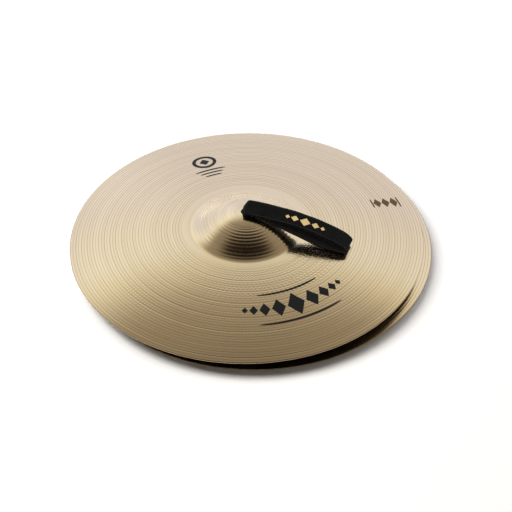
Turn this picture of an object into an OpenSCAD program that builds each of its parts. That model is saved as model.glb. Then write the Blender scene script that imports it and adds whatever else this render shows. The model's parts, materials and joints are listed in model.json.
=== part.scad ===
// Pair of orchestral hand cymbals at rest, cup side up, one nested on the other.
// The origin is under the middle of the pair, at the height of the lower rim, with +Z up.
// The upper hand strap leans along +X. All sizes are in millimetres.

/* [Plates] */
// Diameter of each plate
plate_d = 457.2; // [440:1:520]
// Thickness of the bronze at the rim
edge_t = 0.9; // [0.7:0.05:1.2]
// Thickness of the bronze at the cup
centre_t = 1.5; // [1.2:0.05:1.8]
// Height of the bow's curve above the rim
bow_rise = 29.1; // [27:0.1:31]
// Height of the cup's top above the rim
cup_top = 51.6; // [50:0.1:53]
// Radius of the cup's dome
cup_radius = 102; // [98:1:106]
// Softness of the hollow between the cup and the bow
cup_blend = 6; // [4:0.5:8]
// Width of the flat worn on the underside of the rim
rim_flat = 1; // [0.8:0.1:1.4]
// Diameter of the hole in the cup
hole_d = 14; // [13.5:0.1:15]

/* [Nesting] */
// Height of the upper plate above the lower one
nest_rise = 18; // [18:0.1:20]
// How far the upper plate is pushed towards -X
nest_x = 8.6; // [7:0.1:9]
// How far the upper plate is pushed towards -Y
nest_y = 10.6; // [9:0.1:11]

/* [Hand straps] */
// Width of each strap
strap_w = 24; // [20:0.5:30]
// Thickness of the woven outer layer
webbing_t = 1.3; // [1.1:0.05:1.4]
// Thickness of the inner lining
lining_t = 0.9; // [0.7:0.05:0.95]
// Height of the sewing thread above the webbing
thread_t = 0.35; // [0.2:0.05:0.35]
// Width of one row of sewing
thread_w = 0.7; // [0.5:0.1:1]
// Distance of the edge sewing from the strap's edge
edge_margin = 2.4; // [2:0.1:3]
// Height of the upper strap's bend axis above the cup
bend_rise = 4.5; // [4.4:0.1:4.6]
// Reach of the lower strap along the plate
packed_reach = 134; // [120:1:140]
// Air between the packed strap and the cup under it
packed_air = 0.9; // [0.8:0.05:1]
// Air between the two runs of the packed strap
run_air = 0.6; // [0.5:0.05:0.7]

/* [Knots] */
// Width of one thong
thong_w = 5.8; // [5:0.1:6]
// Thickness of one thong
thong_t = 2; // [1.8:0.05:2.1]
// Width of a strand in the pressed knot
strand_w = 8.6; // [8:0.1:9]
// Length of a strand across the knot
strand_l = 26; // [24:0.5:27]
// Distance from the cup's axis to the end of a tail
tail_reach = 38; // [30:1:40]
// Diameter of the leather washer
washer_d = 38; // [34:1:42]
// Thickness of the leather washer
washer_t = 1.6; // [1.4:0.1:1.7]

/* [Hidden] */
$fn = 96;
eps = 0.05;
plate_r = plate_d / 2;
hole_r = hole_d / 2;
strap_t = webbing_t + lining_t;
half_t = strap_t / 2;
layer_t = thong_t + 0.1;
knot_top = cup_top - 4.5;
strand_at = strand_w / 2 + 0.3;
// Place of each plate's axis at its rim
lower_at = [nest_x / 2, nest_y / 2, 0];
upper_at = [-nest_x / 2, -nest_y / 2, nest_rise];
// Direction of the packed strap: under the side that the upper plate leaves open
packed_turn = atan2(-nest_y, -nest_x);
// Heights of the packed strap's two middle lines above the cup
base_lift = packed_air + half_t;
top_lift = base_lift + strap_t + run_air;
// Axis that each strap bends about, seen from the side, and its middle line's radius there
upper_axis = [-1.2, cup_top + bend_rise];
upper_roll = 3;
lower_axis = [0, cup_top + (base_lift + top_lift) / 2];
lower_roll = (top_lift - base_lift) / 2;
// Side view of the leaning strap's middle line, with heights from the cup's top
lean_out = [
    [-1.2, 7.5], [16, 7.1], [31, 5.3], [50, 3.4], [64, 1.5], [76, -0.8], [89, -3.2], [103, -7.4], [117, -12.3],
    [127.5, -16.9], [134.2, -22.8]
];
lean_back = [
    [132.6, -28.8], [125, -27.3], [116, -25.2], [106, -22.3], [96, -18.6], [84, -13.6], [70, -8.4], [57, -4.7],
    [44, -1.2], [31, 2.1], [16, 4.2], [-1.2, 1.5]
];
lean_tip = [132.6, cup_top - 25.6];
lean_tip_r = 3.2;
bronze = [0.80, 0.70, 0.52];
strap_black = [0.07, 0.07, 0.075];
lining_grey = [0.13, 0.125, 0.125];
leather_brown = [0.24, 0.15, 0.10];

// ---- Plate profile ----
function bow_z(r) = edge_t + bow_rise * (1 - pow(r / plate_r, 2));
function dome_z(r) = cup_top - cup_radius + sqrt(max(pow(cup_radius, 2) - r * r, 0));
// Outer face: the dome and the bow joined by a soft hollow
function face_z(r) =
    let (a = dome_z(r), b = bow_z(r), h = max(cup_blend - abs(a - b), 0))
    max(a, b) + h * h / (4 * cup_blend);
function face_slope(r) = face_z(r + 0.5) - face_z(r - 0.5);
function plate_t(r) = centre_t + (edge_t - centre_t) * r / plate_r;
// Point at a distance d square to the outer face, above it when d is positive
function off_face(r, d) =
    let (s = face_slope(r), n = sqrt(1 + s * s))
    [r - s * d / n, face_z(r) + d / n];

radii = concat([for (r = [hole_r:5.5:89.5]) r], [for (r = [100:12:220]) r]);
function reversed(list) = [for (i = [len(list) - 1:-1:0]) list[i]];
rim_points = [
    [plate_r - 0.3, edge_t], [plate_r, edge_t - 0.3], [plate_r, 0.3], [plate_r - 0.3, 0],
    [plate_r - 0.3 - rim_flat, 0]
];

// ---- Strap outlines ----
// Smooth curve through the points of a route, as a Catmull-Rom spline
function spline_at(p, i, t) =
    let (last = len(p) - 1, a = p[max(i - 1, 0)], b = p[i], c = p[i + 1], d = p[min(i + 2, last)])
    0.5 * (2 * b + (c - a) * t + (2 * a - 5 * b + 4 * c - d) * t * t
    + (3 * b - a - 3 * c + d) * t * t * t);
function spline(p, steps) =
    [for (i = [0:len(p) - 2]) for (k = [0:steps - 1]) spline_at(p, i, k / steps)];
function arc(centre, r, from, to, steps) =
    [for (k = [0:steps]) let (a = from + (to - from) * k / steps) centre + r * [cos(a), sin(a)]];
// Closed middle lines, both clockwise from the top of the bend over the hole
function from_cup(points) = [for (p = points) p + [0, cup_top]];
lean_line = concat(
    spline(from_cup(lean_out), 5),
    arc(lean_tip, lean_tip_r, 60, -75, 6),
    spline(from_cup(lean_back), 5),
    arc(upper_axis, upper_roll, 270, 100, 9)
);
packed_radii = [for (r = [4:5:packed_reach]) r];
packed_line = concat(
    [for (r = packed_radii) off_face(r, top_lift)],
    let (e = packed_reach, m = off_face(e, (top_lift + base_lift) / 2), lean = atan(face_slope(e)))
    arc(m, lower_roll, lean + 80, lean - 80, 6),
    [for (r = reversed(packed_radii)) off_face(r, base_lift)],
    arc(lower_axis, lower_roll, 270, 90, 8)
);
// Line moved outwards by d, square to itself
function moved(line, d) =
    let (n = len(line))
    [for (i = [0:n - 1])
        let (v = line[(i + 1) % n] - line[(i + n - 1) % n])
        line[i] + d * [-v[1], v[0]] / norm(v)];

// Layer of a strap between two distances from its middle line
module band(line, inner, outer, width) {
    rotate([90, 0, 0])
        linear_extrude(height = width, center = true)
            difference() {
                polygon(moved(line, outer));
                polygon(moved(line, inner));
            }
}

// Sewing along both edges of a strap's outer face
module edge_rows(line) {
    for (side = [-1, 1])
        translate([0, side * (strap_w / 2 - edge_margin), 0])
            band(line, half_t, half_t + thread_t, thread_w);
}

// Two short rows across the lower run, which close the loop
module tack_rows(line, first, second) {
    for (i = [first, second]) {
        at = moved(line, half_t)[i];
        along = line[i + 1] - line[i - 1];
        translate([at[0], 0, at[1]])
            rotate([0, -atan2(along[1], along[0]), 0])
                translate([0, 0, eps + thread_t / 2])
                    cube([1.6, strap_w - 9, thread_t], center = true);
    }
}

// ---- Parts of one cymbal, about its own axis ----
module plate() {
    color(bronze)
        rotate_extrude(convexity = 6)
            polygon(concat(
                [for (r = radii) [r, face_z(r)]],
                rim_points,
                [for (r = reversed(radii)) r == hole_r
                    ? [r, face_z(r) - plate_t(r)]
                    : off_face(r, -plate_t(r))]
            ));
}

module washer() {
    washer_radii = [for (k = [0:4]) hole_r + 0.5 + (washer_d / 2 - hole_r - 0.5) * k / 4];
    color(leather_brown)
        rotate_extrude(convexity = 4)
            polygon(concat(
                [for (r = washer_radii) [r, face_z(r) - centre_t - eps]],
                [for (r = reversed(washer_radii)) [r, face_z(r) - centre_t - eps - washer_t]]
            ));
}

// Flat strand with round ends, lying along X
module strand(length, width, thickness) {
    reach = (length - width) / 2;
    linear_extrude(height = thickness)
        polygon(concat(
            arc([reach, 0], width / 2, -90, 90, 10),
            arc([-reach, 0], width / 2, 90, 270, 10)
        ));
}

// Four strands pressed into a flat square knot
module knot_solid() {
    for (layer = [0:2])
        translate([0, 0, knot_top - (layer + 1) * layer_t])
            rotate([0, 0, 90 * (layer % 2)])
                for (side = [-1, 1])
                    translate([0, side * strand_at, 0])
                        strand(strand_l - 5 * floor(layer / 2), strand_w, layer_t);
}

module knot() {
    color(strap_black) {
        knot_solid();
        translate([0, 0, knot_top - 2 * layer_t])
            cylinder(r = hole_r - 0.8, h = 2 * layer_t);
    }
}

// Four thongs that pass through the hole side by side
module thongs() {
    color(strap_black)
        for (x = [-1, 1])
            for (y = [-1, 1])
                translate([x * (thong_t / 2 + eps), y * (thong_w / 2 + eps), (knot_top + cup_top) / 2])
                    cube([thong_t, thong_w, cup_top - knot_top - 2 * eps - 0.3], center = true);
}

// Free ends of the thongs, pressed outwards under the cup
module knot_tails() {
    start_r = strand_l / 2;
    root = 3;
    fall = atan((face_z(start_r) - face_z(tail_reach)) / (tail_reach - start_r));
    color(strap_black)
        difference() {
            for (turn = [0:90:270])
                rotate([0, 0, turn])
                    translate([start_r, strand_at, knot_top - 1.2 - thong_t])
                        rotate([0, fall, 0])
                            translate([-root, -thong_w / 2, 0])
                                cube([(tail_reach - start_r) / cos(fall) + root, thong_w, thong_t]);
            scale([1.004, 1.004, 1])
                knot_solid();
        }
}

// ---- Placing on each cymbal ----
module on_lower() {
    translate(lower_at) rotate([0, 0, packed_turn]) children();
}

module on_upper() {
    translate(upper_at) children();
}

module lower_plate() { on_lower() plate(); }
module lower_washer() { on_lower() washer(); }
module lower_thongs() { on_lower() thongs(); }
module lower_knot() { on_lower() knot(); }
module lower_knot_tails() { on_lower() knot_tails(); }
module upper_plate() { on_upper() plate(); }
module upper_washer() { on_upper() washer(); }
module upper_thongs() { on_upper() thongs(); }
module upper_knot() { on_upper() knot(); }
module upper_knot_tails() { on_upper() knot_tails(); }

module lower_strap_webbing() {
    color(strap_black) on_lower() band(packed_line, lining_t - half_t, half_t, strap_w);
}

module lower_strap_lining() {
    color(lining_grey) on_lower() band(packed_line, -half_t, lining_t - half_t, strap_w);
}

module lower_edge_stitching() {
    color(strap_black) on_lower() edge_rows(packed_line);
}

module lower_bar_tacks() {
    count = len(packed_line);
    color(strap_black) on_lower() tack_rows(packed_line, count - 13, count - 14);
}

module upper_strap_webbing() {
    color(strap_black) on_upper() band(lean_line, lining_t - half_t, half_t, strap_w);
}

module upper_strap_lining() {
    color(lining_grey) on_upper() band(lean_line, -half_t, lining_t - half_t, strap_w);
}

module upper_edge_stitching() {
    color(strap_black) on_upper() edge_rows(lean_line);
}

module upper_bar_tacks() {
    count = len(lean_line);
    color(strap_black) on_upper() tack_rows(lean_line, count - 17, count - 18);
}

lower_plate();
lower_washer();
lower_thongs();
lower_knot();
lower_knot_tails();
lower_strap_webbing();
lower_strap_lining();
lower_edge_stitching();
lower_bar_tacks();
upper_plate();
upper_washer();
upper_thongs();
upper_knot();
upper_knot_tails();
upper_strap_webbing();
upper_strap_lining();
upper_edge_stitching();
upper_bar_tacks();
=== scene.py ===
import json
import math

import bpy
import numpy as np
from mathutils import Matrix, Vector


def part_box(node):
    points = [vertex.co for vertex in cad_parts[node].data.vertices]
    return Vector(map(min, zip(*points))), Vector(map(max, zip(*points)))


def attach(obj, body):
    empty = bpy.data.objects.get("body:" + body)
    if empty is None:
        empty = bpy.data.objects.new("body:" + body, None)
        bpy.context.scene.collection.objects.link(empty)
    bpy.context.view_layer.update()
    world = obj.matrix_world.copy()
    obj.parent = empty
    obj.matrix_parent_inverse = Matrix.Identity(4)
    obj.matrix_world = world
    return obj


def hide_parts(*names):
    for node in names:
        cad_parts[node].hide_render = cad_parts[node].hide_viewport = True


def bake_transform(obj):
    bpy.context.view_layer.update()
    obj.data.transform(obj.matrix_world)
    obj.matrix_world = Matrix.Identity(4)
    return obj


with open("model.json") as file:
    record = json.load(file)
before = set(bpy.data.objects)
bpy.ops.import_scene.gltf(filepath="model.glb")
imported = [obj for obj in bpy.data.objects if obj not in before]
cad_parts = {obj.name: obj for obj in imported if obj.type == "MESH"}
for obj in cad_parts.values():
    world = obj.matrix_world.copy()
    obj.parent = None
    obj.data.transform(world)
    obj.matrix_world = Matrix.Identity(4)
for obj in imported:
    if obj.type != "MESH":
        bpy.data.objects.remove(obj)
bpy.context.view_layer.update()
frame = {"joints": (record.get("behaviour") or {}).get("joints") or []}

# A nested pair of orchestral hand cymbals. Sizes below are in millimetres unless a name says otherwise.
# Heights on a plate count from its rim, and heights of straps and knots from the top of its cup.
MM = 0.001
JOINTS = {joint["name"]: joint for joint in frame["joints"]}
SIDES = ("lower", "upper")

# ---------------------------------------------------------------- sizes of the plates
PLATE_R = (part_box("upper_plate")[1][0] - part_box("upper_plate")[0][0]) / 2 / MM
EDGE_T = 0.9
CENTRE_T = 1.5
BOW_RISE = 29.1
CUP_TOP = 51.6
CUP_RADIUS = 102.0
CUP_BLEND = 6.0
HOLE_R = 7.0
RIM_FLAT = 1.0
PLATE_SEGMENTS = 240
# The lathe's turns over the bow: where they start and how far apart they are
BOW_FROM = 82.0
BOW_TURN = 3.7
# Deeper single rings: radius, depth and width
DEEP_RINGS = (
    (28.3, 0.09, 0.7), (74, 0.03, 1.2), (103.5, 0.06, 0.6), (122, 0.06, 0.7), (141, 0.06, 0.6),
    (163, 0.07, 0.7), (184, 0.06, 0.6), (205, 0.06, 0.6), (221, 0.06, 0.6),
)

# ---------------------------------------------------------------- sizes of the straps
STRAP_W = 24.0
WEBBING_T = 1.3
LINING_T = 0.9
HALF_T = (WEBBING_T + LINING_T) / 2
NECK_W = 11.0
SELVEDGE_W = 2.0
RIB_PITCH = 2.7
WEFT_PITCH = 1.1
WARP_PITCH = 0.8
STITCH_PITCH = 3.2
STITCH_INSET = 2.0
# The edge stitching ends at the bar tacks, clear of the plate
SEWN_FROM = 24.0
TACKS_FROM_END = (24.5, 28.0)
TACK_ROW = np.arange(-7, 7.1, 0.75)
# The grid that stitches and printed marks are placed on
PLACING_STEP = 0.4
PLACING_COLUMNS = 36


# ================================================================ places
def plate_axis(side):
    """The plate's axis at its rim, in metres."""
    low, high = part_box(f"{side}_plate")
    return Vector(((low[0] + high[0]) / 2, (low[1] + high[1]) / 2, low[2]))


def strap_heading(side):
    """Unit vector, level, along the strap from the hole to the loop's far end."""
    axis = JOINTS[f"{side}_strap_flop"]["axis"]
    return np.array([-axis[1], axis[0], 0.0])


def to_row(side, points):
    """Points (along the strap, across it, above the cup's top) in mm to row-frame metres."""
    points = np.asarray(points, float)
    along = strap_heading(side)
    across = np.array([-along[1], along[0], 0.0])
    base = np.array(plate_axis(side)) + [0, 0, CUP_TOP * MM]
    x, y, z = points[..., 0:1], points[..., 1:2], points[..., 2:3]
    return base + (x * along + y * across + z * np.array([0, 0, 1.0])) * MM


# ================================================================ plate profile
def bow_z(r):
    return EDGE_T + BOW_RISE * (1 - (r / PLATE_R) ** 2)


def dome_z(r):
    return CUP_TOP - CUP_RADIUS + np.sqrt(np.maximum(CUP_RADIUS**2 - r * r, 0))


def face_z(r):
    a, b = dome_z(r), bow_z(r)
    h = np.maximum(CUP_BLEND - np.abs(a - b), 0)
    return np.maximum(a, b) + h * h / (4 * CUP_BLEND)


def face_slope(r):
    return face_z(r + 0.5) - face_z(r - 0.5)


def plate_t(r):
    return CENTRE_T + (EDGE_T - CENTRE_T) * r / PLATE_R


def off_face(r, d):
    """Points at a distance d square to the outer face, above it when d is positive."""
    s = face_slope(r)
    n = np.sqrt(1 + s * s)
    return r - s * d / n, face_z(r) + d / n


# ================================================================ mesh helpers
def tube_faces(nu, nv, first, close_u):
    """Faces of a grid of points that closes on itself along v, and along u or with flat ends."""
    index = first + np.arange(nu * nv).reshape(nu, nv)
    a = index if close_u else index[:-1]
    b = np.roll(index, -1, 0) if close_u else index[1:]
    quads = np.stack([a, np.roll(a, -1, 1), np.roll(b, -1, 1), b], -1)
    faces = quads.reshape(-1, 4).tolist()
    if not close_u:
        faces += [index[0][::-1].tolist(), index[-1].tolist()]
    return faces


def tubes(name, grids, close_u=False, sharp=40):
    """One object from grids of points (nu, nv, 3) in metres, each a closed tube, with optional UV grids."""
    points, faces, uvs, first = [], [], [], 0
    for grid, uv in grids:
        faces += tube_faces(grid.shape[0], grid.shape[1], first, close_u)
        points.append(grid.reshape(-1, 3))
        if uv is not None:
            uvs.append(uv.reshape(-1, 2))
        first += grid.shape[0] * grid.shape[1]
    mesh = bpy.data.meshes.new(name)
    mesh.from_pydata(np.vstack(points).tolist(), [], faces)
    if uvs:
        corner = np.zeros(len(mesh.loops), int)
        mesh.loops.foreach_get("vertex_index", corner)
        mesh.uv_layers.new(name="Along").data.foreach_set("uv", np.vstack(uvs)[corner].ravel())
    mesh.validate()
    mesh.polygons.foreach_set("use_smooth", [True] * len(mesh.polygons))
    mesh.set_sharp_from_angle(angle=math.radians(sharp))
    mesh.update()
    piece = bpy.data.objects.new(name, mesh)
    bpy.context.scene.collection.objects.link(piece)
    return piece


def smooth_route(points, step):
    """Evenly spaced points on a Catmull-Rom curve through the given ones."""
    p = np.asarray(points, float)
    p = np.vstack([2 * p[0] - p[1], p, 2 * p[-1] - p[-2]])
    t = np.linspace(0, 1, 24, endpoint=False)[:, None]
    out = []
    for a, b, c, d in zip(p, p[1:], p[2:], p[3:]):
        out.append(
            0.5 * (2 * b + (c - a) * t + (2 * a - 5 * b + 4 * c - d) * t**2 + (3 * b - a - 3 * c + d) * t**3)
        )
    curve = np.vstack(out + [p[-2:-1]])
    length = np.r_[0, np.cumsum(np.linalg.norm(np.diff(curve[:, :3], axis=0), axis=1))]
    at = np.linspace(0, length[-1], max(int(length[-1] / step), 4))
    return np.stack([np.interp(at, length, curve[:, k]) for k in range(p.shape[1])], 1), at


def ramp(x, low, high):
    """0 below low, 1 above high, smooth between."""
    t = np.clip((x - low) / (high - low), 0, 1)
    return t * t * (3 - 2 * t)


# ================================================================ materials
class Surface:
    """A procedural material: a Principled shader and short calls for the nodes that feed it."""

    def __init__(self, name, color, roughness, metallic=0.0, **sockets):
        self.material = bpy.data.materials.new(name)
        self.material.use_nodes = True
        self.tree = self.material.node_tree
        self.shader = self.tree.nodes["Principled BSDF"]
        self.shader.inputs["Base Color"].default_value = (*color, 1)
        self.shader.inputs["Roughness"].default_value = roughness
        self.shader.inputs["Metallic"].default_value = metallic
        for socket, value in sockets.items():
            self.shader.inputs[socket.replace("_", " ")].default_value = value
        self.relief = None

    def node(self, kind, inputs=None, **settings):
        made = self.tree.nodes.new("ShaderNode" + kind)
        for key, value in settings.items():
            setattr(made, key, value)
        for key, value in (inputs or {}).items():
            self.feed(made.inputs[key], value)
        return made

    def feed(self, socket, value):
        if isinstance(value, bpy.types.NodeSocket):
            self.tree.links.new(value, socket)
        else:
            socket.default_value = value

    def math(self, operation, *values):
        made = self.node("Math", operation=operation)
        for k, value in enumerate(values):
            self.feed(made.inputs[k], value)
        return made.outputs[0]

    def vector(self, x, y, z=0.0):
        return self.node("CombineXYZ", {"X": x, "Y": y, "Z": z}).outputs[0]

    def noise(self, at, scale, detail=3.0, roughness=0.55):
        inputs = {"Vector": at, "Scale": scale, "Detail": detail, "Roughness": roughness}
        return self.node("TexNoise", inputs).outputs["Fac"]

    def spread(self, value, low, high, to_low=0.0, to_high=1.0):
        inputs = {"Value": value, "From Min": low, "From Max": high, "To Min": to_low, "To Max": to_high}
        return self.node("MapRange", inputs).outputs[0]

    def mix(self, factor, a, b):
        made = self.node("Mix", data_type="RGBA")
        self.feed(made.inputs[0], factor)
        self.feed(made.inputs[6], (*a, 1) if isinstance(a, tuple) else a)
        self.feed(made.inputs[7], (*b, 1) if isinstance(b, tuple) else b)
        return made.outputs[2]

    def color(self, value):
        self.feed(self.shader.inputs["Base Color"], value)

    def roughness(self, value):
        self.feed(self.shader.inputs["Roughness"], value)

    def bump(self, height, strength, distance):
        """Adds a layer of fine relief. height is 0 to 1 and distance is in metres."""
        inputs = {"Height": height, "Strength": strength, "Distance": distance}
        made = self.node("Bump", inputs)
        if self.relief is not None:
            self.feed(made.inputs["Normal"], self.relief)
        self.relief = made.outputs[0]
        self.feed(self.shader.inputs["Normal"], self.relief)

    def place(self):
        """The point on the piece, in the piece's own metres."""
        return self.node("TexCoord").outputs["Object"]

    def along(self):
        """Distance along a strap and across it, in metres, from its UV map."""
        place = self.node("UVMap", uv_map="Along").outputs[0]
        split = self.node("SeparateXYZ", {0: place})
        return split.outputs[0], split.outputs[1]


def bronze_tone(s, r, fine, wide, cloud, turn):
    """Pale new bronze with painted shade in the lathe's cuts and on the underside, and a faint cloudy patina.
    """
    tone = s.mix(s.spread(fine, 0.3, 0.7), (0.68, 0.545, 0.345), (0.84, 0.70, 0.48))
    tone = s.mix(s.spread(wide, 0.35, 0.65, 0.0, 0.5), tone, (0.86, 0.72, 0.49))
    tone = s.mix(s.spread(cloud, 0.35, 0.7, 0.0, 0.35), tone, (0.80, 0.67, 0.48))
    # Painted shade: each turn of the tool's cut gets a darker line, each second one plainer to see
    turns = s.math("COSINE", turn)
    pairs = s.math("COSINE", s.math("ADD", s.math("MULTIPLY", turn, 0.5), math.pi / 2))
    line = s.math("MULTIPLY", s.spread(turns, -0.55, -0.95), s.spread(pairs, -0.5, 0.5, 0.7, 1.0))
    line = s.math("MULTIPLY", line, s.spread(r, 0.080, 0.088))
    tone = s.mix(s.math("MULTIPLY", line, 0.75), tone, (0.46, 0.34, 0.19))
    # Painted shade: faces turned downwards, the underside, are darkened towards deep brown
    facing = s.node("SeparateXYZ", {0: s.node("TexCoord").outputs["Normal"]}).outputs[2]
    return s.mix(s.spread(facing, -0.3, 0.3, 0.8, 0.0), tone, (0.11, 0.07, 0.035))


def chatter_marks(s, place, r, angle, wide, turn):
    """Short dashes in the turns next to the cup, fainter farther out."""
    band = s.spread(s.math("COSINE", turn), -0.2, 0.5)
    patch = s.spread(s.noise(place, 13.0, 2.0), 0.3, 0.55)
    shift = s.math("MULTIPLY", wide, 24.0)
    ticks = s.math("SINE", s.math("ADD", s.math("MULTIPLY", angle, 132.0), shift))
    outer_ticks = s.math("SINE", s.math("MULTIPLY", angle, 252.0))
    far = s.spread(r, 0.130, 0.134)
    near_part = s.math("MULTIPLY", ticks, s.math("SUBTRACT", 1.0, far))
    far_part = s.math("MULTIPLY", outer_ticks, s.math("MULTIPLY", far, 0.5))
    tick = s.math("ADD", near_part, far_part)
    on_bow = s.math("MULTIPLY", s.spread(r, 0.078, 0.086), s.spread(r, 0.185, 0.21, 1.0, 0.3))
    return s.math("MULTIPLY", s.math("MULTIPLY", tick, band), s.math("MULTIPLY", patch, on_bow))


def bronze():
    # The lathe's grooves spread light outwards and inwards, hardly along themselves
    s = Surface("cast_bronze", (0.78, 0.63, 0.41), 0.2, metallic=1.0,
                Anisotropic=0.6, Anisotropic_Rotation=0.25)
    place = s.place()
    x, y = s.node("SeparateXYZ", {0: place}).outputs[:2]
    r = s.math("SQRT", s.math("ADD", s.math("MULTIPLY", x, x), s.math("MULTIPLY", y, y)))
    angle = s.math("ARCTAN2", y, x)
    turn = s.math("MULTIPLY", s.math("SUBTRACT", r, BOW_FROM * MM), math.tau / (BOW_TURN * MM))

    def ring_noise(per_metre, around):
        at_x = s.math("MULTIPLY", s.math("DIVIDE", x, r), around)
        at_y = s.math("MULTIPLY", s.math("DIVIDE", y, r), around)
        return s.noise(s.vector(s.math("MULTIPLY", r, per_metre), at_x, at_y), 1.0, 2.0)

    fine = ring_noise(900.0, 0.25)
    wide = ring_noise(160.0, 0.4)
    cloud = s.noise(place, 9.0, 4.0)
    s.color(bronze_tone(s, r, fine, wide, cloud, turn))
    s.roughness(s.spread(s.math("ADD", wide, cloud), 0.7, 1.3, 0.15, 0.20))
    s.bump(chatter_marks(s, place, r, angle, wide, turn), 0.4, 0.0001)
    s.bump(fine, 0.1, 0.00003)
    tangent = s.node("Tangent", direction_type="RADIAL", axis="Z")
    s.feed(s.shader.inputs["Tangent"], tangent.outputs[0])
    return s.material


def webbing():
    dark, light = (0.001, 0.001, 0.001), (0.0046, 0.0044, 0.0042)
    s = Surface("woven_webbing", light, 0.62,
                Sheen_Weight=0.015, Sheen_Roughness=0.4, Specular_IOR_Level=0.12)
    u, v = s.along()
    slanted = s.math("ADD", u, s.math("MULTIPLY", v, 0.35))
    weft = s.math("SINE", s.math("MULTIPLY", slanted, math.tau / (WEFT_PITCH * MM)))
    warp = s.math("SINE", s.math("MULTIPLY", v, math.tau / (WARP_PITCH * MM)))
    yarn = s.spread(s.math("MULTIPLY", weft, warp), -1.0, 1.0)
    fuzz = s.noise(s.vector(u, v), 900.0, 3.0)
    wear = s.noise(s.vector(u, v), 60.0, 3.0)
    # Painted shade: the weave's dips are darker and its raised yarns lighter, following the bump's pattern
    tone = s.mix(yarn, dark, light)
    edge_at = STRAP_W / 2 * MM
    edge = s.spread(s.math("ABSOLUTE", v), edge_at - 1.8 * MM, edge_at - 0.6 * MM)
    tone = s.mix(edge, tone, dark)
    s.color(s.mix(s.spread(wear, 0.45, 0.75, 0.0, 0.4), tone, tuple(1.5 * c for c in light)))
    s.roughness(s.spread(fuzz, 0.3, 0.7, 0.5, 0.75))
    s.bump(yarn, 0.6, 0.00012)
    s.bump(fuzz, 0.3, 0.00006)
    return s.material


def lining():
    s = Surface("soft_lining", (0.02, 0.019, 0.018), 0.8,
                Sheen_Weight=0.04, Sheen_Roughness=0.5, Specular_IOR_Level=0.25)
    u, v = s.along()
    at = s.vector(u, v)
    nap = s.noise(at, 1500.0, 4.0)
    worn = s.noise(at, 90.0, 3.0)
    s.color(s.mix(s.spread(nap, 0.3, 0.7), (0.010, 0.0095, 0.009), (0.032, 0.031, 0.030)))
    s.roughness(s.spread(worn, 0.3, 0.7, 0.7, 0.9))
    s.bump(nap, 0.7, 0.00015)
    return s.material


def thread(name, color, light):
    s = Surface(name, color, 0.4, Coat_Weight=0.1)
    inputs = {"Vector": s.place(), "Scale": 420.0, "Distortion": 0.6}
    ply = s.node("TexWave", inputs, bands_direction="DIAGONAL").outputs["Fac"]
    s.color(s.mix(ply, color, light))
    s.roughness(s.spread(ply, 0.0, 1.0, 0.3, 0.55))
    s.bump(ply, 0.5, 0.00008)
    return s.material


def leather(name, deep, pale, shine):
    s = Surface(name, pale, shine, Specular_IOR_Level=0.45)
    place = s.place()
    cells = s.node("TexVoronoi", {"Vector": place, "Scale": 1300.0}, feature="DISTANCE_TO_EDGE")
    pores = s.noise(place, 2600.0, 3.0)
    cloud = s.noise(place, 130.0, 4.0)
    crease = s.spread(cells.outputs["Distance"], 0.0, 0.12)
    tone = s.mix(s.spread(cloud, 0.3, 0.7), deep, pale)
    # Painted shade: the grain's creases are darkened to the deep colour
    s.color(s.mix(crease, deep, tone))
    s.roughness(s.spread(pores, 0.3, 0.7, shine - 0.08, shine + 0.12))
    s.bump(crease, 0.6, 0.00012)
    s.bump(pores, 0.3, 0.00005)
    return s.material


def print_ink(name, color, metallic=0.0):
    s = Surface(name, color, 0.5, metallic=metallic, Specular_IOR_Level=0.2)
    grain = s.noise(s.place(), 900.0, 3.0)
    worn = tuple(min(1.0, 1.35 * c + 0.002) for c in color)
    s.color(s.mix(s.spread(grain, 0.35, 0.7, 0.0, 0.5), color, worn))
    s.roughness(s.spread(grain, 0.3, 0.7, 0.42, 0.6))
    s.bump(grain, 0.25, 0.00003)
    return s.material


def floor_paint():
    s = Surface("pale_floor", (0.92, 0.92, 0.92), 0.85, Specular_IOR_Level=0.15)
    mottle = s.noise(s.place(), 3.0, 2.0)
    s.color(s.mix(s.spread(mottle, 0.3, 0.7), (0.91, 0.91, 0.91), (0.93, 0.93, 0.93)))
    return s.material


BRONZE = bronze()
WEBBING = webbing()
LINING = lining()
THREAD = thread("black_thread", (0.012, 0.012, 0.012), (0.05, 0.05, 0.05))
THONG = leather("black_thong_leather", (0.010, 0.009, 0.008), (0.045, 0.038, 0.033), 0.42)
WASHER = leather("brown_washer_leather", (0.10, 0.048, 0.022), (0.26, 0.14, 0.07), 0.5)
BLACK_INK = print_ink("black_print", (0.005, 0.005, 0.0055))
BROWN_INK = print_ink("brown_print", (0.085, 0.05, 0.02))
GOLD_INK = print_ink("gold_print", (0.72, 0.56, 0.27), metallic=0.4)


def dress(piece, material, slot, body, *nodes):
    """Gives a new piece its material, the CAD nodes it stands for and the body it rides on. slot is not used.
    """
    piece.data.materials.clear()
    piece.data.materials.append(material)
    if nodes:
        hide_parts(*nodes)
    if body:
        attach(piece, body)
    return piece


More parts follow.
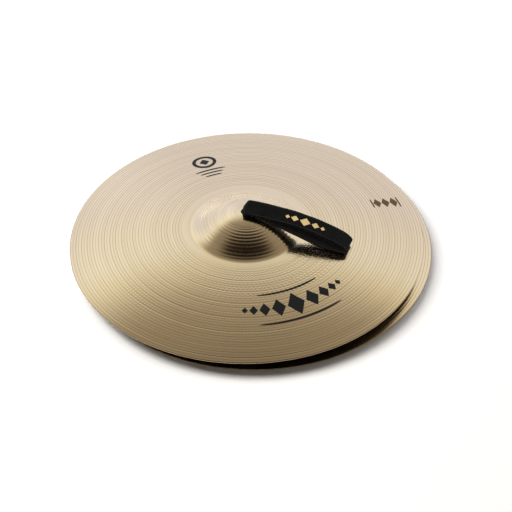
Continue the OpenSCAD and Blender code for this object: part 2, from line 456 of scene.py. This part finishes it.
# ================================================================ plates
def lathe_relief(r):
    """Height of the lathe's marks on the outer face, in mm."""
    on_bow = ramp(r, BOW_FROM, BOW_FROM + 8) * (1 - ramp(r, PLATE_R - 5, PLATE_R - 2))
    on_flank = ramp(r, 27, 33) * (1 - ramp(r, 62, 70))
    flank = 0.12 * np.sin(math.tau * (r - 28) / 4.1) * on_flank
    top = 0.012 * np.sin(math.tau * r / 3.3) * (1 - ramp(r, 24, 28))
    relief = flank + top
    # The tool's turns over the bow, each second one deeper and none quite like the next
    turn = (r - BOW_FROM) / BOW_TURN
    number = np.floor(turn)
    uneven = 0.5 + 0.5 * np.sin(number * 12.9)
    depth = (0.014 + 0.016 * uneven + 0.016 * (number % 2)) * (0.2 + 0.8 * ramp(r, 105, 150))
    relief = relief - depth * on_bow * np.exp(-(((turn - number - 0.5) * BOW_TURN / 0.55) ** 2))
    for at, depth, width in DEEP_RINGS:
        relief = relief - depth * np.exp(-(((r - at) / width) ** 2))
    return relief


def plate_profile():
    """Closed outline of half the plate's section: over the outer face, round the rim and back underneath."""
    r = np.r_[np.linspace(HOLE_R + 0.25, 90, 150), np.linspace(90.4, PLATE_R - 0.9, 360)]
    top = np.stack(off_face(r, lathe_relief(r)), 1)
    hole_z = face_z(HOLE_R)
    rim = [(PLATE_R - 0.45, EDGE_T), (PLATE_R - 0.12, EDGE_T - 0.14), (PLATE_R, EDGE_T - 0.42),
           (PLATE_R, 0.36), (PLATE_R - 0.1, 0.1), (PLATE_R - 0.35, 0.0), (PLATE_R - 0.3 - RIM_FLAT, 0.0),
           (PLATE_R - 2.2, 0.1)]
    under_r = np.linspace(PLATE_R - 4.5, HOLE_R + 1.2, 170)
    marks = 0.03 * np.sin(math.tau * under_r / 5.2) + 0.02 * np.sin(math.tau * under_r / 13)
    under = np.stack(off_face(under_r, marks - plate_t(under_r)), 1)
    bore = [(HOLE_R + 0.2, hole_z - CENTRE_T), (HOLE_R, hole_z - CENTRE_T + 0.2), (HOLE_R, hole_z - 0.25)]
    return np.vstack([[(HOLE_R + 0.06, hole_z - 0.06)], top, rim, under, bore])


def revolved(name, profile, segments, axis):
    turn = np.linspace(0, math.tau, segments, endpoint=False)
    x = profile[:, 0:1] * np.cos(turn)
    y = profile[:, 0:1] * np.sin(turn)
    z = np.repeat(profile[:, 1:2], segments, 1)
    piece = tubes(name, [(np.stack([x, y, z], -1) * MM, None)], close_u=True)
    piece.location = axis
    return piece


def make_plate(side):
    piece = revolved(f"{side}_bronze_plate", plate_profile(), PLATE_SEGMENTS, plate_axis(side))
    return dress(piece, BRONZE, "bronze", f"{side}_cymbal", f"{side}_plate")


def make_washer(side):
    inner, outer, thick = HOLE_R + 0.6, 19.0, 1.55
    r = np.linspace(inner + 0.3, outer - 0.4, 26)
    groove = -0.25 * np.exp(-(((r - outer + 2.2) / 0.4) ** 2))
    top_z = face_z(r) - CENTRE_T - 0.08
    lower = np.stack([r, top_z - thick - groove], 1)[::-1]
    edge_z = face_z(outer) - CENTRE_T - 0.08
    hole_z = face_z(inner) - CENTRE_T - 0.08
    profile = np.vstack([
        np.stack([r, top_z], 1),
        [(outer - 0.1, edge_z - 0.2), (outer, edge_z - 0.6), (outer - 0.1, edge_z - thick + 0.25)],
        lower,
        [(inner, hole_z - thick + 0.3), (inner, hole_z - 0.3)],
    ])
    piece = revolved(f"{side}_leather_washer", profile, 96, plate_axis(side))
    return dress(piece, WASHER, "leather", f"{side}_cymbal", f"{side}_washer")


# ================================================================ ribbons: straps, thongs and tails
def ribbon(middle, low, high, relief=0.0, uv=None):
    """Closed band round a grid of points (along, across). low and high are its faces' distances from the grid
    and the edges are rounded. Its outer face is on the side of along x across."""
    along = np.gradient(middle, axis=0)
    across = np.gradient(middle, axis=1)
    normal = np.cross(along, across)
    normal /= np.linalg.norm(normal, axis=2)[..., None]
    step = np.linalg.norm(np.diff(middle, axis=1), axis=2)
    reach = np.hstack([np.zeros((len(middle), 1)), np.cumsum(step, 1)])
    from_edge = np.minimum(reach, reach[:, -1:] - reach)
    half = (high - low) / 2
    inset = np.clip(1 - (from_edge + 0.25 * half) / half, 0, 1)
    rise = half * np.sqrt(1 - inset**2)
    top = (high + low) / 2 + rise + relief * (inset == 0)
    bottom = (high + low) / 2 - rise
    upper_face = middle + top[..., None] * normal
    lower_face = middle + bottom[..., None] * normal
    grid = np.concatenate([upper_face, lower_face[:, ::-1]], 1)
    if uv is not None:
        uv = np.concatenate([uv, uv[:, ::-1]], 1) * MM
    return grid, uv


def edge_spaced(count):
    """Places from -1 to 1, closer together at the ends."""
    even = np.linspace(-1, 1, count)
    return 0.55 * even + 0.45 * np.sin(even * math.pi / 2)


# Middle line of the leaning strap: along it, sideways, above the cup's top, and its roll in degrees.
# The lower run rolls so that its near edge hangs down and its far edge rests under the upper run.
LEANING = [
    (-1.7, 0, -2.4, 0), (-1.9, 0, -0.7, 0), (-2.5, 0, 1.0, 2), (-3.4, -0.1, 2.9, 5), (-3.3, -0.2, 4.6, 8),
    (-2.1, -0.4, 6.1, 11), (1.0, -0.6, 7.1, 12), (7, -0.7, 7.2, 12), (16, -0.7, 6.9, 13), (31, -0.6, 5.6, 13),
    (50, -0.8, 3.8, 12), (64, -0.8, 2.1, 10), (76, -1.2, -0.4, 9), (89, -1.5, -3.1, 8), (103, -1.8, -7.4, 7),
    (117, -2.1, -12.3, 6), (127.5, -2.4, -16.9, 4), (133.4, -2.6, -21.4, 3), (136.0, -2.7, -25.0, 3),
    (133.8, -2.8, -28.0, 4), (128.5, -2.8, -27.8, 6), (122, -2.8, -26.5, 10), (114, -3.0, -24.4, 14),
    (105, -3.3, -21.7, 20), (96, -3.7, -18.5, 28), (84, -4.0, -13.4, 35), (70, -3.8, -8.2, 35),
    (57, -3.1, -4.3, 31), (44, -1.6, -0.5, 26), (31, -0.5, 2.8, 22), (20, 0.2, 4.4, 20), (11, 0.3, 4.1, 14),
    (5.5, 0.2, 2.5, 6), (2.8, 0, 0.1, 0), (1.7, 0, -2.4, 0),
]


def packed_line():
    """The lower strap lies flat along the cup and the bow, one run on the other."""
    base_lift = 0.9 + HALF_T
    top_lift = base_lift + 2 * HALF_T + 0.6
    r = np.r_[6.0, np.arange(14, 130, 10), 132]
    over = np.stack(off_face(r, top_lift), 1) - [0, CUP_TOP]
    under = np.stack(off_face(r, base_lift), 1) - [0, CUP_TOP]
    tip = np.array(off_face(135.2, (top_lift + base_lift) / 2)) - [0, CUP_TOP]
    start = [(-1.5, -2.4), (-1.6, -0.8), (-2.4, 0.9), (-3.0, 2.6), (-2.1, 4.2), (0.6, top_lift)]
    end = [(3.0, 1.2), (1.7, -0.6), (1.5, -2.4)]
    return np.vstack([start, over, [tip], under[::-1], end])


def level(line):
    """A side view as a line without sideways bend or roll."""
    return np.stack([line[:, 0], 0 * line[:, 0], line[:, 1], 0 * line[:, 0]], 1)


LINES = {"lower": level(packed_line()), "upper": np.array(LEANING, float)}


def strap_spread(at, back, upper):
    """Half the width, by the distances from both ends. The run that leaves the hole on top spreads at once,
    the one below more slowly."""
    over = ramp(at, 1.3, 3.6)
    under = ramp(back, 1.3, 4.2)
    if upper:
        under = 0.65 * under + 0.35 * ramp(back, 8, 46)
    return NECK_W / 2 + (STRAP_W - NECK_W) / 2 * np.minimum(over, under)


def strap_curl(at, back, upper):
    """How far the edges curl round towards the loop's far end, most of all near the hole."""
    curl = 6.4 if upper else 2.5
    over = curl * ramp(at, 1.2, 3.4) * (1 - 0.65 * ramp(at, 3.6, 9) - 0.35 * ramp(at, 9, 24))
    under = 0.9 * curl * ramp(back, 1.2, 3.6) * (1 - ramp(back, 4.5, 17))
    return 0.4 + np.where(at < back, over, under)


class Strap:
    """Middle surface of a strap as a grid: along from hole to hole, across from edge to edge."""

    def __init__(self, side, step, across, trim=0.0):
        line, at = smooth_route(LINES[side], step)
        back = at[-1] - at
        upper = side == "upper"
        t = edge_spaced(across)[None, :]
        tip = ramp(at, 60, at[-1] / 2) * ramp(back, 60, at[-1] / 2)
        half = strap_spread(at, back, upper) + 0.6 * tip - trim
        curl_x = strap_curl(at, back, upper)
        skew = 0.06 * tip if upper else 0 * tip
        pleat = 0.5 * (1 - ramp(np.minimum(at, back), 1.3, 5.0))
        tangent = np.gradient(line[:, [0, 2]], axis=0)
        tangent /= np.linalg.norm(tangent, axis=1)[:, None]
        across_at = t * half[:, None]
        roll = np.radians(line[:, 3:4])
        x = line[:, 0:1] + curl_x[:, None] * t**2 + skew[:, None] * across_at
        y = line[:, 1:2] + across_at * np.cos(roll)
        z = line[:, 2:3] + across_at * np.sin(roll)
        fold = pleat[:, None] * np.cos(3 * math.pi * t)
        self.grid = np.stack([x - tangent[:, 1:2] * fold, y, z + tangent[:, 0:1] * fold], -1)
        self.at, self.t, self.half = at, t, half
        self.uv = np.stack([at[:, None] + 0 * t, across_at], -1)
        along = np.gradient(self.grid, axis=0)
        self.way = along / np.linalg.norm(along, axis=2)[..., None]
        normal = np.cross(along, np.gradient(self.grid, axis=1))
        self.normal = normal / np.linalg.norm(normal, axis=2)[..., None]

    def row_at(self, distance):
        """Number of the row at a distance along the strap."""
        return int(np.argmin(np.abs(self.at - distance)))

    def place(self, row, y):
        """Point, heading and outward normal on row number row, y millimetres across."""
        columns = self.t[0] * self.half[row]

        def pick(values):
            return np.array([np.interp(y, columns, values[row, :, k]) for k in range(3)])

        way, normal = pick(self.way), pick(self.normal)
        return pick(self.grid), way / np.linalg.norm(way), normal / np.linalg.norm(normal)


def bend_with_joint(piece):
    """Bakes the piece's placement into its mesh."""
    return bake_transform(piece)


def make_webbing(side):
    strap = Strap(side, 0.42, 36)
    at, y = strap.uv[..., 0], strap.uv[..., 1]
    rim = STRAP_W / 2 - SELVEDGE_W
    selvedge = ramp(np.abs(y), rim, rim + 0.6)
    ribs = 0.17 * np.cos(math.tau * (at + 0.12 * y) / RIB_PITCH) * (1 - selvedge)
    edge = 0.05 * np.cos(math.tau * at / 1.3) * selvedge - 0.12 * np.exp(-(((np.abs(y) - rim) / 0.4) ** 2))
    grid, uv = ribbon(strap.grid, LINING_T - HALF_T, HALF_T, ribs + edge, strap.uv)
    piece = tubes(f"{side}_woven_webbing", [(to_row(side, grid), uv)], sharp=70)
    dress(piece, WEBBING, "webbing", None, f"{side}_strap_webbing")
    return bend_with_joint(piece)


def make_lining(side):
    strap = Strap(side, 0.8, 24, trim=0.35)
    grid, uv = ribbon(strap.grid, -HALF_T, LINING_T - HALF_T - 0.02, 0.0, strap.uv)
    piece = tubes(f"{side}_soft_lining", [(to_row(side, grid), uv)], sharp=70)
    dress(piece, LINING, "lining", None, f"{side}_strap_lining")
    return bend_with_joint(piece)


def stitch(centre, way, up, length, width, height):
    """One stitch: a short strand that dips into the cloth at both ends."""
    s = np.linspace(-1, 1, 9)[:, None]
    swell = np.sqrt(np.clip(1 - s**4, 0.02, 1))
    line = centre + s * way * length / 2 - s**4 * up * height * 0.5
    ring = np.linspace(0, math.tau, 8, endpoint=False)
    x = (np.cos(ring) * swell * width / 2)[..., None] * np.cross(way, up)
    z = (np.sin(ring) * swell * height / 2)[..., None] * up
    return line[:, None, :] + x + z


def sewn(side, name, node, shapes):
    piece = tubes(name, [(to_row(side, shape), None) for shape in shapes])
    dress(piece, THREAD, "thread", None, node)
    return bend_with_joint(piece)


def make_edge_stitching(side):
    strap = Strap(side, PLACING_STEP, PLACING_COLUMNS)
    shapes = []
    for distance in np.arange(SEWN_FROM, strap.at[-1] - SEWN_FROM, STITCH_PITCH):
        row = strap.row_at(distance)
        for way_out in (-1, 1):
            centre, way, up = strap.place(row, way_out * (strap.half[row] - STITCH_INSET))
            shapes.append(stitch(centre + up * (HALF_T + 0.05), way, up, 2.3, 0.55, 0.42))
    return sewn(side, f"{side}_edge_stitches", f"{side}_edge_stitching", shapes)


def make_bar_tacks(side):
    strap = Strap(side, PLACING_STEP, PLACING_COLUMNS)
    shapes = []
    for back in TACKS_FROM_END:
        row = strap.row_at(strap.at[-1] - back)
        for i, y in enumerate(TACK_ROW):
            centre, way, up = strap.place(row, y)
            slant = way + (0.25 if i % 2 else -0.25) * np.cross(up, way)
            slant /= np.linalg.norm(slant)
            shapes.append(stitch(centre + up * (HALF_T + 0.06), slant, up, 2.2, 0.5, 0.4))
    return sewn(side, f"{side}_bar_tack_stitches", f"{side}_bar_tacks", shapes)


def strap_mark(side):
    """A plain row of lozenges printed on the hand loop's outer face."""
    strap = Strap(side, PLACING_STEP, PLACING_COLUMNS)
    reach = strap.grid[: len(strap.at) // 2, PLACING_COLUMNS // 2, 0]
    section = [(q, 0.2) for q in (-1, -0.5, 0, 0.5, 1)] + [(q, 0.0) for q in (1, 0, -1)]
    shapes = []
    for at, length, width in ((55, 6, 6), (64.5, 10, 9), (78, 14, 13), (91.5, 10, 9), (101, 6, 6)):
        outline = []
        for f in np.linspace(-1, 1, 25):
            row = int(np.argmin(np.abs(reach - (at + f * length / 2))))
            half = max(0.03, width * (1 - abs(f))) / 2
            ring = []
            for q, lift in section:
                centre, way, up = strap.place(row, half * q)
                ring.append(centre + up * (HALF_T + lift))
            outline.append(ring)
        shapes.append(np.array(outline))
    piece = tubes(f"{side}_strap_lozenges", [(to_row(side, s), None) for s in shapes])
    dress(piece, GOLD_INK, "thread", None)
    return bend_with_joint(piece)


# ================================================================ knots inside the cups
# The strands' distance from the axis, the knot's middle height and how far strands weave up and down
STRAND_AT = 4.6
KNOT_LOW = -9.0
WEAVE = 0.95


def turned(points, quarter):
    c, s = round(math.cos(quarter * math.pi / 2)), round(math.sin(quarter * math.pi / 2))
    x, y, z = points[..., 0], points[..., 1], points[..., 2]
    return np.stack([c * x - s * y, s * x + c * y, z], -1)


def strand(route, y, half_width, thickness, across=12):
    """Flat strand in one upright plane. half_width takes the distances along it and its whole length."""
    line, at = smooth_route(route, 0.45)
    t = edge_spaced(across)[None, :]
    wide = y + t * half_width(at, at[-1])[:, None]
    middle = np.stack([line[:, 0:1] + 0 * t, wide, line[:, 1:2] + 0 * t], -1)
    return ribbon(middle, -thickness / 2, thickness / 2, 0.0, np.stack([at[:, None] + 0 * t, wide], -1))


def four_strands(side, name, node, route, half_width, thickness):
    """The same strand four times, turned by quarter turns about the cup's axis."""
    grid, uv = strand(route, STRAND_AT, half_width, thickness)
    grids = [(to_row(side, turned(grid, quarter)), uv) for quarter in range(4)]
    piece = tubes(name, grids)
    return dress(piece, THONG, "thong", f"{side}_strap_neck", node)


def make_knot(side):
    """Four strands, each over one neighbour and under the next, with their folds at the knot's sides."""
    route = [(-1, -5.7), (-6, -5.6), (-10.4, -5.7), (-12, -7.1), (-10.6, -8.7), (-7.6, KNOT_LOW + 0.5),
             (-STRAND_AT, KNOT_LOW + WEAVE), (0, KNOT_LOW), (STRAND_AT, KNOT_LOW - WEAVE),
             (7.8, KNOT_LOW - 0.5), (10.6, -8.3), (12.2, -7.2)]

    def half_width(at, end):
        return 4.15 - 0.5 * ramp(at, end - 7, end)

    return four_strands(side, f"{side}_woven_knot", f"{side}_knot", route, half_width, 1.8)


def make_tails(side):
    """Free ends of the four strands, pressed outwards under the cup and cut narrow."""
    route = [(11.4, -7.6), (13.5, -6.9), (17, -7.0), (23, -8.1), (30, -10.3), (37.6, -13.1)]

    def half_width(at, end):
        return 3.5 - 0.6 * ramp(at, 0, 8) - 1.6 * ramp(at, end - 5.5, end)

    return four_strands(side, f"{side}_thong_tails", f"{side}_knot_tails", route, half_width, 1.9)


def make_thongs(side):
    """The four thongs in the hole, two by two, under the webbing's gathered ends."""
    half_width, half_thick = 2.8, 1.0
    z, across = np.broadcast_arrays(np.linspace(-1.9, -5.2, 9)[:, None], half_width * edge_spaced(10))
    grids = []
    for x in (-1.15, 1.15):
        for y in (-2.95, 2.95):
            middle = np.stack([x + 0 * z, y + across, z], -1)
            grid, uv = ribbon(middle, -half_thick, half_thick, 0.0, np.stack([z, across], -1))
            grids.append((to_row(side, grid), uv))
    piece = tubes(f"{side}_thong_bundle", grids)
    return dress(piece, THONG, "thong", f"{side}_strap_neck", f"{side}_thongs")


# ================================================================ plain printed marks on the upper plate
# Each mark's place: radius, and degrees round from the x axis
FRONT_MARK = (151, -50)
BACK_MARK = (146, 127)
SIDE_MARK = (194, 36)


def on_plate(r, turn_deg, a, b, lift):
    """A mark's own (around, outwards) millimetres to a point just above the plate's face."""
    radius = r + b
    turn = math.radians(turn_deg) + a / r
    z = face_z(radius) + np.maximum(lathe_relief(radius), 0) + lift
    return np.stack([radius * np.cos(turn), radius * np.sin(turn), z], -1)


def mark_patch(r, turn_deg, a, b):
    """Thin closed patch over a grid of mark coordinates."""
    top = on_plate(r, turn_deg, a, b, 0.09)
    low = on_plate(r, turn_deg, a, b, 0.02)
    return np.concatenate([top, low[:, ::-1]], 1)


def lozenge(a0, b0, wide, tall):
    f = np.linspace(-0.985, 0.985, 17)[:, None]
    q = np.linspace(-1, 1, 7)[None, :]
    return a0 + f * wide / 2 + 0 * q, b0 + q * tall / 2 * (1 - np.abs(f))


def arc_line(a0, b0, wide, thick):
    """Line along a ring, tapered at both ends."""
    f = np.linspace(-0.99, 0.99, 41)[:, None]
    q = np.linspace(-1, 1, 3)[None, :]
    return a0 + f * wide / 2 + 0 * q, b0 + q * thick / 2 * np.sqrt(1 - f**4)


def half_ring(a0, b0, radius, thick, start):
    f = np.linspace(0, 1, 25)[:, None]
    q = np.linspace(-1, 1, 3)[None, :]
    turn = math.radians(start) + f * math.pi
    distance = radius + q * thick / 2
    return a0 + distance * np.cos(turn), b0 + distance * np.sin(turn)


def make_mark(name, material, place, shapes):
    patches = [mark_patch(*place, a, b) for a, b in shapes]
    piece = tubes(name, [(patch * MM, None) for patch in patches])
    piece.location = plate_axis("upper")
    return dress(piece, material, "bronze", "upper_cymbal")


def make_plate_marks():
    row = [lozenge(0, 0, 23, 36)]
    for way in (-1, 1):
        for at, wide, tall in ((23, 18, 27), (41, 14, 20), (55, 11, 14), (66, 8, 9)):
            row.append(lozenge(way * at, 0, wide, tall))
    row.append(arc_line(0, 23, 100, 3))
    row.append(arc_line(0, -23, 100, 3))
    make_mark("upper_front_mark", BLACK_INK, FRONT_MARK, row)
    badge = [half_ring(0, 10, 13, 4.5, 0), half_ring(0, 10, 13, 4.5, 180), lozenge(0, 10, 13, 15)]
    badge += [arc_line(0, -12 - 7 * k, 46 - 9 * k, 2.6) for k in range(3)]
    make_mark("upper_back_mark", BLACK_INK, BACK_MARK, badge)
    stamp = [lozenge(0, 11.5 * k, 19, 11) for k in (-1, 0, 1)]
    stamp += [arc_line(0, 18.5 * k, 20, 2.2) for k in (-1, 1)]
    make_mark("upper_side_mark", BROWN_INK, SIDE_MARK, stamp)


# ================================================================ camera, floor and light
# Angles in degrees, distances in metres and the lens in millimetres
CAMERA_AZIMUTH = 16.0
CAMERA_ELEVATION = 40.88
CAMERA_DISTANCE = 3.0
CAMERA_LENS = 163.1
CAMERA_ROLL = 0.57
# How far the picture's middle lies right of and below the upper rim's centre, in metres
AIM_RIGHT = 0.01203
AIM_DOWN = 0.01804


def from_camera(azimuth, elevation):
    """Unit vector to a direction. Azimuth 0 is behind the camera's back, 90 to its right, 180 facing it."""
    a, e = math.radians(CAMERA_AZIMUTH + azimuth), math.radians(elevation)
    return Vector((math.sin(a) * math.cos(e), -math.cos(a) * math.cos(e), math.sin(e)))


def make_camera():
    back = from_camera(0, CAMERA_ELEVATION)
    right = from_camera(90, 0)
    up = back.cross(right)
    roll = math.radians(CAMERA_ROLL)
    c, s = math.cos(roll), math.sin(roll)
    right, up = right * c - up * s, up * c + right * s
    target = plate_axis("upper") + right * AIM_RIGHT - up * AIM_DOWN
    data = bpy.data.cameras.new("camera")
    data.lens, data.sensor_width = CAMERA_LENS, 36
    data.clip_start, data.clip_end = 0.05, 60
    camera = bpy.data.objects.new("camera", data)
    bpy.context.scene.collection.objects.link(camera)
    place = target + back * CAMERA_DISTANCE
    camera.matrix_world = Matrix((
        (right.x, up.x, back.x, place.x), (right.y, up.y, back.y, place.y),
        (right.z, up.z, back.z, place.z), (0, 0, 0, 1),
    ))
    bpy.context.scene.camera = camera


def make_floor():
    half = 20.0
    corners = [(-half, -half, 0), (half, -half, 0), (half, half, 0), (-half, half, 0)]
    mesh = bpy.data.meshes.new("floor")
    mesh.from_pydata(corners, [], [(0, 1, 2, 3)])
    floor = bpy.data.objects.new("floor", mesh)
    bpy.context.scene.collection.objects.link(floor)
    floor.location.z = -0.0004
    mesh.materials.append(floor_paint())


def area_light(name, way, distance, size, watts, color):
    """Soft panel aimed at the pair from a direction. It doesn't show in the bronze."""
    data = bpy.data.lights.new(name, "AREA")
    data.shape, data.size, data.size_y = "RECTANGLE", size, size
    data.energy, data.color = watts, color
    light = bpy.data.objects.new(name, data)
    bpy.context.scene.collection.objects.link(light)
    light.location = way * distance
    light.rotation_mode = "QUATERNION"
    light.rotation_quaternion = way.to_track_quat("Z", "Y")
    light.visible_glossy = False


# Brightness against the cosine of the angle to a point high up behind the camera
DARK_OVERHEAD = (
    (0.0, (0.87, 0.88, 1.03)), (0.1, (0.92, 0.93, 0.99)), (0.27, (0.98, 1.0, 1.03)),
    (0.36, (0.85, 0.82, 0.66)), (0.43, (0.55, 0.50, 0.43)), (0.50, (0.34, 0.295, 0.225)),
    (0.67, (0.295, 0.25, 0.205)), (0.76, (0.16, 0.135, 0.1)), (0.85, (0.03, 0.023, 0.017)),
    (1.0, (0.012, 0.009, 0.006)),
)
# Extra light against the cosine of the angle to a point low at the back left
BRIGHT_LEFT = (
    (0.0, (0.0, 0.0, 0.0)), (0.78, (0.0, 0.0, 0.0)), (0.86, (0.13, 0.15, 0.15)), (1.0, (0.0, 0.0, 0.0)),
)


def make_world():
    """A pale studio: bright low down, darker high up behind the camera, with extra light at the back left."""
    world = bpy.data.worlds.new("studio")
    bpy.context.scene.world = world
    world.use_nodes = True
    tree = world.node_tree
    way = tree.nodes.new("ShaderNodeTexCoord").outputs["Generated"]

    def toward(azimuth, elevation):
        """Cosine of the angle to a direction."""
        dot = tree.nodes.new("ShaderNodeVectorMath")
        dot.operation = "DOT_PRODUCT"
        tree.links.new(way, dot.inputs[0])
        dot.inputs[1].default_value = from_camera(azimuth, elevation)
        return dot.outputs["Value"]

    def shade(value, stops):
        made = tree.nodes.new("ShaderNodeValToRGB")
        elements = made.color_ramp.elements
        while len(elements) < len(stops):
            elements.new(0.5)
        for element, (at, color) in zip(elements, stops):
            element.position = at
            element.color = (*color, 1)
        tree.links.new(value, made.inputs[0])
        return made.outputs[0]

    def added(a, b):
        made = tree.nodes.new("ShaderNodeMix")
        made.data_type, made.blend_type, made.clamp_result = "RGBA", "ADD", False
        made.inputs[0].default_value = 1.0
        tree.links.new(a, made.inputs[6])
        tree.links.new(b, made.inputs[7])
        return made.outputs[2]

    overhead = shade(toward(0, 60), DARK_OVERHEAD)
    left = shade(toward(228, 18), BRIGHT_LEFT)
    tree.links.new(added(overhead, left), tree.nodes["Background"].inputs[0])
    tree.nodes["Background"].inputs[1].default_value = 1.0


def make_lights():
    area_light("key", from_camera(255, 48), 2.6, 1.3, 75, (1.0, 0.98, 0.95))
    area_light("fill", from_camera(200, 60), 3.0, 2.4, 25, (1.0, 1.0, 1.0))


# ================================================================ build
make_camera()
for side in SIDES:
    make_plate(side)
    make_washer(side)
    make_webbing(side)
    make_lining(side)
    make_edge_stitching(side)
    make_bar_tacks(side)
    strap_mark(side)
    make_thongs(side)
    make_knot(side)
    make_tails(side)
make_plate_marks()
make_floor()
make_world()
make_lights()
bpy.context.scene.view_settings.view_transform = "Standard"
